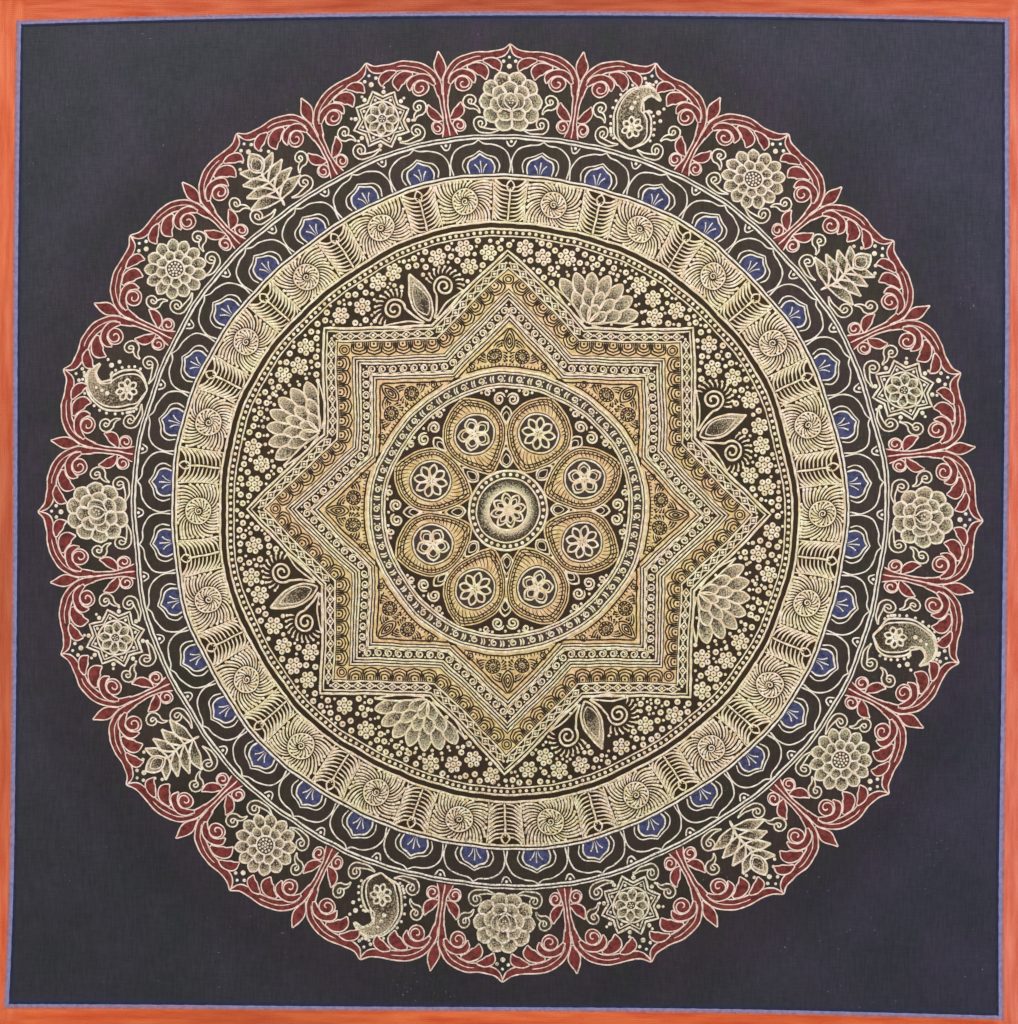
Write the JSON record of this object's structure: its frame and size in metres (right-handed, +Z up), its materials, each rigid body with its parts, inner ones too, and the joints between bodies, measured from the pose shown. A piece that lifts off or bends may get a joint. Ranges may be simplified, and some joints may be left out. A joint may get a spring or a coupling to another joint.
{
  "type": "unmounted thangka scroll painting",
  "caption": "Square painted cotton canvas for a hanging scroll, slightly uneven, held along its top edge, with a dark ground, a ruled line and a bright painted border.",
  "frame": {"origin": "middle of the canvas's top edge, on the plane of its back", "axes": "+Z up along the hanging cloth, +X to the right as seen from the front, the painted face looks along -Y"},
  "size_m": [0.3018, 0.0066, 0.3008],
  "materials": {
    "painted_canvas": "matte paint on sized cotton canvas"
  },
  "bodies": {
    "root": {"painted_canvas": "painted_canvas"}
  },
  "joints": []
}
